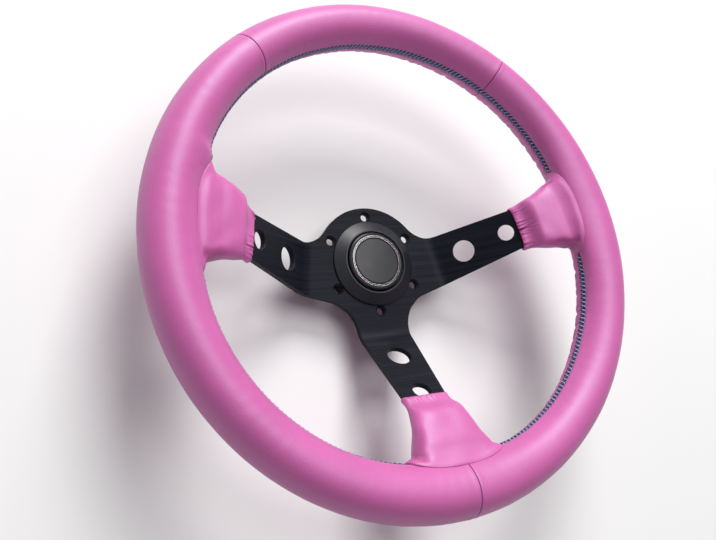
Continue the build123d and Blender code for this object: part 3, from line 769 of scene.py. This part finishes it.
# hollows drawn into the flanks: place and half width round the sleeve in degrees, start and end
# distance from the seam, fade, depth, lip on the shoulder beside it
HOLLOWS = {
    "right": ((160, 8, 1.0, 33.0, 16.0, 1.60, 0.0), (176, 8, 0.5, 28.0, 12.0, 0.7, 0.0)),
    "left": ((160, 9, 1.0, 24.0, 10.0, 1.5, 0.0), (176, 8, 0.5, 22.0, 10.0, 0.6, 0.0)),
    "bottom": ((162, 9, 1.0, 27.0, 12.0, 1.2, 0.15), (176, 8, 1.0, 26.0, 12.0, 0.5, 0.0)),
}
BOOTS = {}
for name, rows, seed in (("right", RIGHT_ROWS, 41), ("left", LEFT_ROWS, 57), ("bottom", BOTTOM_ROWS, 73)):
    BOOTS[name] = boot(name, rows, seed)


# ------------------------------------------------------------------ lacing
def strand(out, pts, o, radius, sides, taper, uv_len, mat):
    """Flattened tube along pts, with o as its upper side."""
    verts, faces, fm, uvs = out
    tan = np.gradient(pts, axis=0)
    tan /= np.linalg.norm(tan, axis=1, keepdims=True)
    nn = o - tan * (o * tan).sum(1, keepdims=True)
    nn /= np.linalg.norm(nn, axis=1, keepdims=True)
    bb = np.cross(tan, nn)
    ang = np.linspace(0, 2 * math.pi, sides, endpoint=False)
    base, seg = len(verts), len(pts)
    for i in range(seg):
        ring = pts[i] + taper[i] * (bb[i] * np.cos(ang)[:, None] * radius[0] + nn[i] * np.sin(ang)[:, None] * radius[1])
        verts.extend(ring.tolist())
        uvs.extend([(i / (seg - 1) * uv_len, a / (2 * math.pi) * 2.0) for a in ang])
    for i in range(seg - 1):
        for q in range(sides):
            q2 = (q + 1) % sides
            faces.append((base + i * sides + q, base + i * sides + q2, base + (i + 1) * sides + q2, base + (i + 1) * sides + q))
            fm.append(mat)
    faces.append(tuple(base + q for q in reversed(range(sides))))
    faces.append(tuple(base + (seg - 1) * sides + q for q in range(sides)))
    fm += [mat, mat]


def lacing(name, path, pitch=PITCH, half=3.15, height=1.0, seg=12, sides=7, seed=1):
    """Cross stitch over a seam: a dark thread and a light one that cross in turn, over a laid cord.
    path(length) gives point, along, across and outward."""
    r = np.random.RandomState(seed)
    out = ([], [], [], [])
    total = path["length"]
    count = int((total - 1.3 * pitch) / (pitch / 2))
    u = np.linspace(0, 1, seg)
    for k in range(count):
        light = k % 2 == 0
        side = 1 if light else -1
        s0 = 0.3 * pitch + k * pitch / 2 + r.uniform(-0.10, 0.10)
        rise = height * r.uniform(0.9, 1.1) * (1.06 if light else 0.97)
        x = s0 + 1.02 * pitch * u
        y = side * half * (1 - 2 * u) * r.uniform(0.93, 1.06)
        h = -0.55 + rise * np.sin(math.pi * u).clip(0) ** 0.45 * (1.20 - 0.50 * u)
        c, t, w, o = path["at"](x)
        pts = c + w * y[:, None] + o * h[:, None]
        taper = np.clip(np.minimum(u, 1 - u) / 0.10, 0.5, 1.0)
        strand(out, pts, o, (0.50, 0.34) if light else (0.62, 0.34), sides, taper, 6.0, 0 if light else 1)
    # the laid cord under the crossings fills the gap between the hide's edges; its dark navy is painted shade standing
    # for the shadow down in that gap
    n = int(total / 1.3)
    x = np.linspace(0.4 * pitch, total - 0.4 * pitch, n)
    c, t, w, o = path["at"](x)
    pts = c + o * (-0.12 + 0.04 * np.sin(x * 2 * math.pi / 2.6))[:, None]
    strand(out, pts, o, (2.15, 0.30), 10, np.clip(np.minimum(x - x[0], x[-1] - x) / 2.0, 0.2, 1.0), total / 1.2, 1)
    verts, faces, fm, uvs = out
    ob = make_mesh(name, verts, faces, [M_THREAD_L, M_THREAD_D], face_mat=fm, uvs=uvs)
    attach(ob, "wheel")
    return ob


def rim_path(a0, a1):
    p0 = math.radians(a0)
    rr = R0 - RA

    def at(x):
        phi = p0 + x / rr
        th = TS + 0 * phi
        c = ell(phi, th, swell(phi, th))
        t = np.stack([-np.sin(phi), np.cos(phi), 0 * phi], -1)
        w = np.stack([0 * phi, 0 * phi, 1 + 0 * phi], -1)
        o = np.stack([-np.cos(phi), -np.sin(phi), 0 * phi], -1)
        return c, t, w, o

    return {"at": at, "length": math.radians(a1 - a0) * rr}


for name, a0, a1, seed in (("top", 19.9, 158.1, 1), ("left", 186.8, 257.1, 2), ("right", 284.7, 353.8, 3)):
    ob = lacing("lacing_" + name, rim_path(a0, a1), seed=seed)
    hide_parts("stitching_" + name)

# ------------------------------------------------------------------ floor and light
floor_z = CAD_BOX[0].z
bpy.ops.mesh.primitive_plane_add(size=14.0, location=(0, 0, floor_z))
floor = bpy.context.object
floor.name = "floor"
m, nt, b = new_material("floor_pale")
g = noise_node(nt, coords(nt), 3.0, 3.0, 0.5)
nt.links.new(ramp(nt, g, [(0.3, (0.80, 0.80, 0.80)), (0.7, (0.83, 0.83, 0.83))]), b.inputs["Base Color"])
b.inputs["Roughness"].default_value = 0.75
b.inputs["Specular IOR Level"].default_value = 0.25
floor.data.materials.append(m)


def area(name, loc, target, size, power, colour=(1, 1, 1), size_y=None):
    d = bpy.data.lights.new(name, "AREA")
    d.shape = "RECTANGLE"
    d.size = size
    d.size_y = size_y or size
    d.energy = power
    d.color = colour
    o = bpy.data.objects.new(name, d)
    scene.collection.objects.link(o)
    o.location = loc
    o.rotation_mode = "QUATERNION"
    o.rotation_quaternion = (Vector(target) - Vector(loc)).to_track_quat("-Z", "Y")
    return o


area("key", (0.45, 2.2, 1.9), (0, 0, 0.04), 1.3, 82.0, (1.0, 0.99, 0.98))
area("top", (0.25, 0.5, 2.3), (0, 0, 0.04), 1.5, 26.0, (1.0, 1.0, 1.0))

world = bpy.data.worlds.new("world")
scene.world = world
world.use_nodes = True
bg = world.node_tree.nodes["Background"]
bg.inputs["Color"].default_value = (0.97, 0.98, 1.0, 1.0)
bg.inputs["Strength"].default_value = 0.22

scene.view_settings.view_transform = "Standard"
scene.view_settings.look = "None"
scene.view_settings.exposure = 0.0
scene.view_settings.gamma = 1.0
